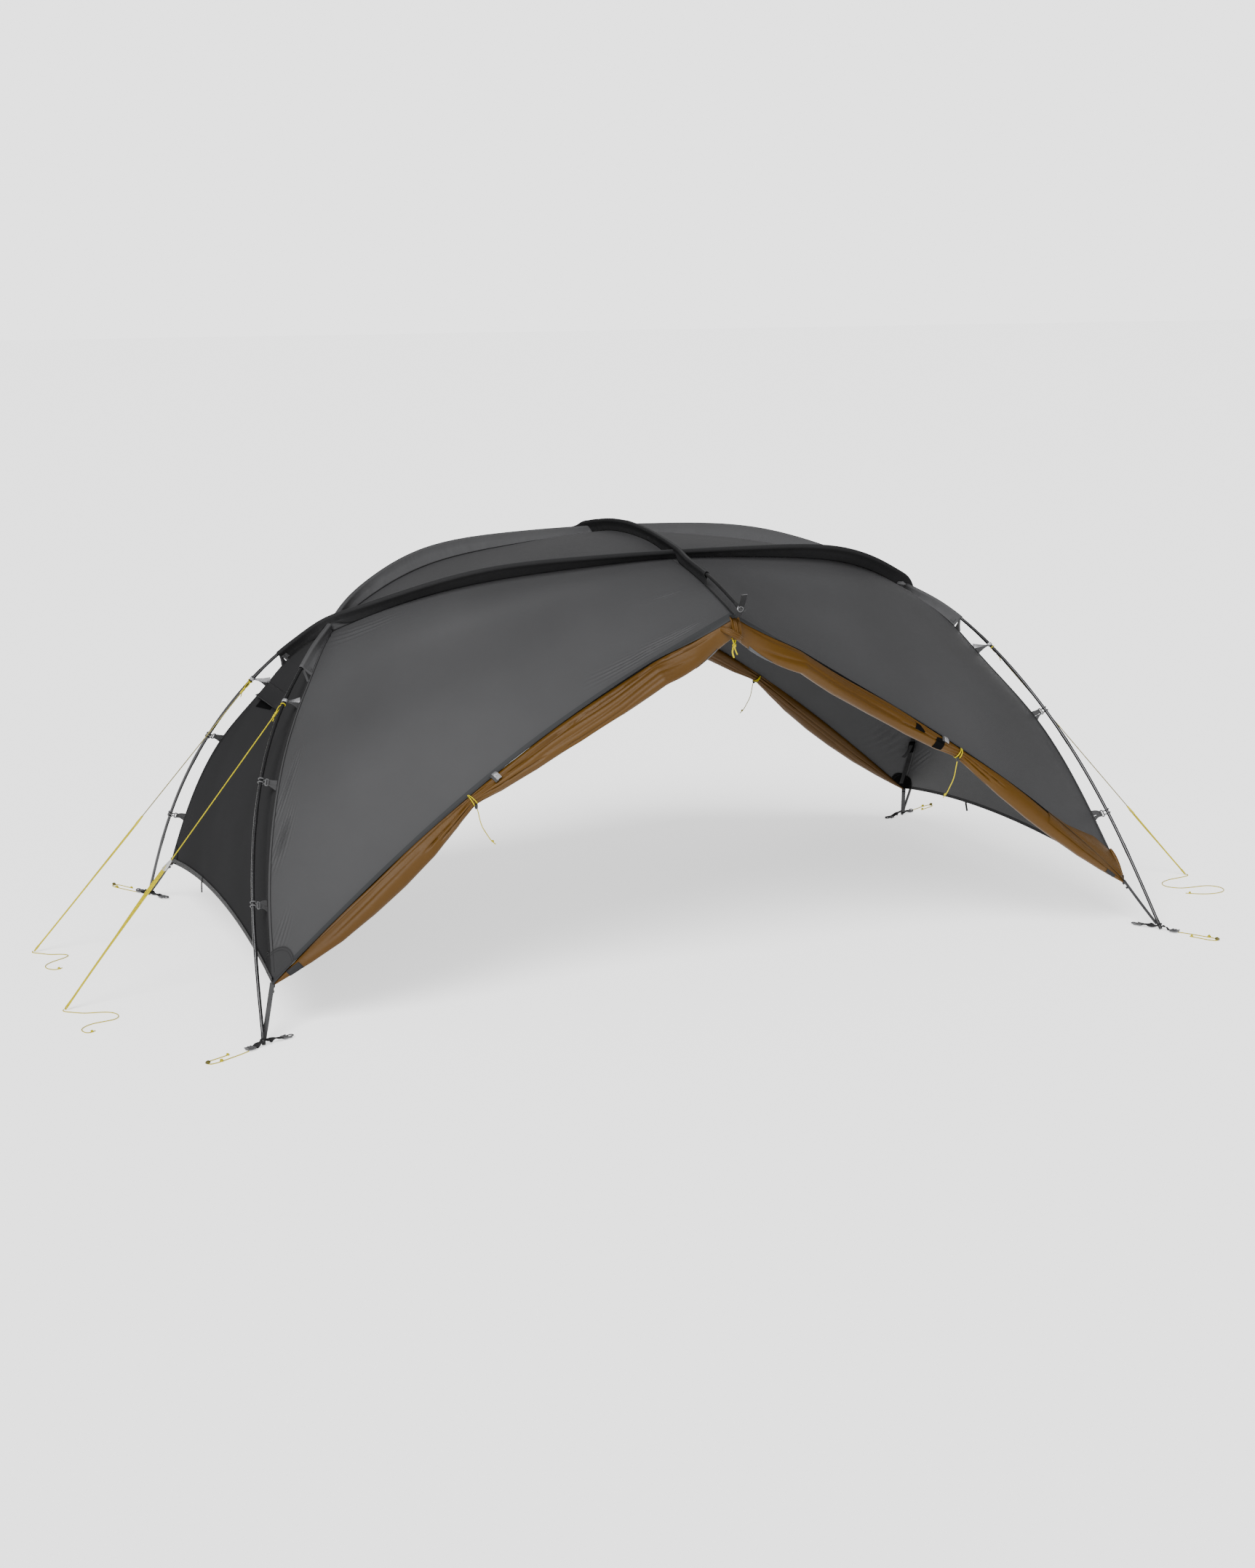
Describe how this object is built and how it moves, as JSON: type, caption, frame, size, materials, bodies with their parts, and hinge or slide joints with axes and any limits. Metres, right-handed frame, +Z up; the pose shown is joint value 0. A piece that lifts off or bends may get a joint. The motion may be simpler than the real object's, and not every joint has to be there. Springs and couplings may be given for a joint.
{
  "type": "pole tent",
  "caption": "Small low tent with arched poles that cross at both ends, a short ridge pole, grey panels, side doors rolled up and tied, and taut guylines.",
  "frame": {"origin": "on the ground, under the middle of the tent", "axes": "+X along the tent to its right end, +Y to the far door side, +Z up"},
  "size_m": [3.3143, 1.8616, 1.119],
  "materials": {
    "canopy_fabric": "thin coated woven cloth, grey, slight sheen",
    "sleeve_fabric": "dark woven cloth",
    "door_fabric": "brown coated cloth with a soft sheen",
    "pole_alloy": "dark anodised tube",
    "reflective_strap": "silver grey strap",
    "webbing": "dark woven webbing with matte plastic buckles",
    "cord_yellow": "braided yellow cord with small matte plastic locks"
  },
  "bodies": {
    "root": {"apex_cord_far": "cord_yellow", "apex_cord_near": "cord_yellow", "apex_tab_far": "webbing", "apex_tab_near": "webbing", "clip_low_far_left": "reflective_strap", "clip_low_far_right": "reflective_strap", "clip_low_near_left": "reflective_strap", "clip_low_near_right": "reflective_strap", "clip_middle_far_left": "reflective_strap", "clip_middle_far_right": "reflective_strap", "clip_middle_near_left": "reflective_strap", "clip_middle_near_right": "reflective_strap", "clip_top_far_left": "reflective_strap", "clip_top_far_right": "reflective_strap", "clip_top_near_left": "reflective_strap", "clip_top_near_right": "reflective_strap", "door_roll_far_left": "door_fabric", "door_roll_far_right": "door_fabric", "door_roll_near_left": "door_fabric", "door_roll_near_right": "door_fabric", "door_tie_far_left": "cord_yellow", "door_tie_far_right": "cord_yellow", "door_tie_near_left": "cord_yellow", "door_tie_near_right": "cord_yellow", "end_wall_left": "canopy_fabric", "end_wall_right": "canopy_fabric", "foot_tab_far_left": "webbing", "foot_tab_far_right": "webbing", "foot_tab_near_left": "webbing", "foot_tab_near_right": "webbing", "guy_tail_far_left": "cord_yellow", "guy_tail_far_right": "cord_yellow", "guy_tail_near_left": "cord_yellow", "guy_tail_near_right": "cord_yellow", "guyline_far_left": "cord_yellow", "guyline_far_right": "cord_yellow", "guyline_near_left": "cord_yellow", "guyline_near_right": "cord_yellow", "long_pole_over": "pole_alloy", "long_pole_under": "pole_alloy", "peg_loop_far_left": "cord_yellow", "peg_loop_far_right": "cord_yellow", "peg_loop_near_left": "cord_yellow", "peg_loop_near_right": "cord_yellow", "ridge_pole": "pole_alloy", "roof_left": "canopy_fabric", "roof_right": "canopy_fabric", "sleeve_far": "sleeve_fabric", "sleeve_near": "sleeve_fabric", "sleeve_ridge": "sleeve_fabric", "tie_cord_far_left": "cord_yellow", "tie_cord_far_right": "cord_yellow", "tie_cord_near_left": "cord_yellow", "tie_cord_near_right": "cord_yellow", "wall_far_left": "canopy_fabric", "wall_far_right": "canopy_fabric", "wall_near_left": "canopy_fabric", "wall_near_right": "canopy_fabric"}
  },
  "joints": []
}
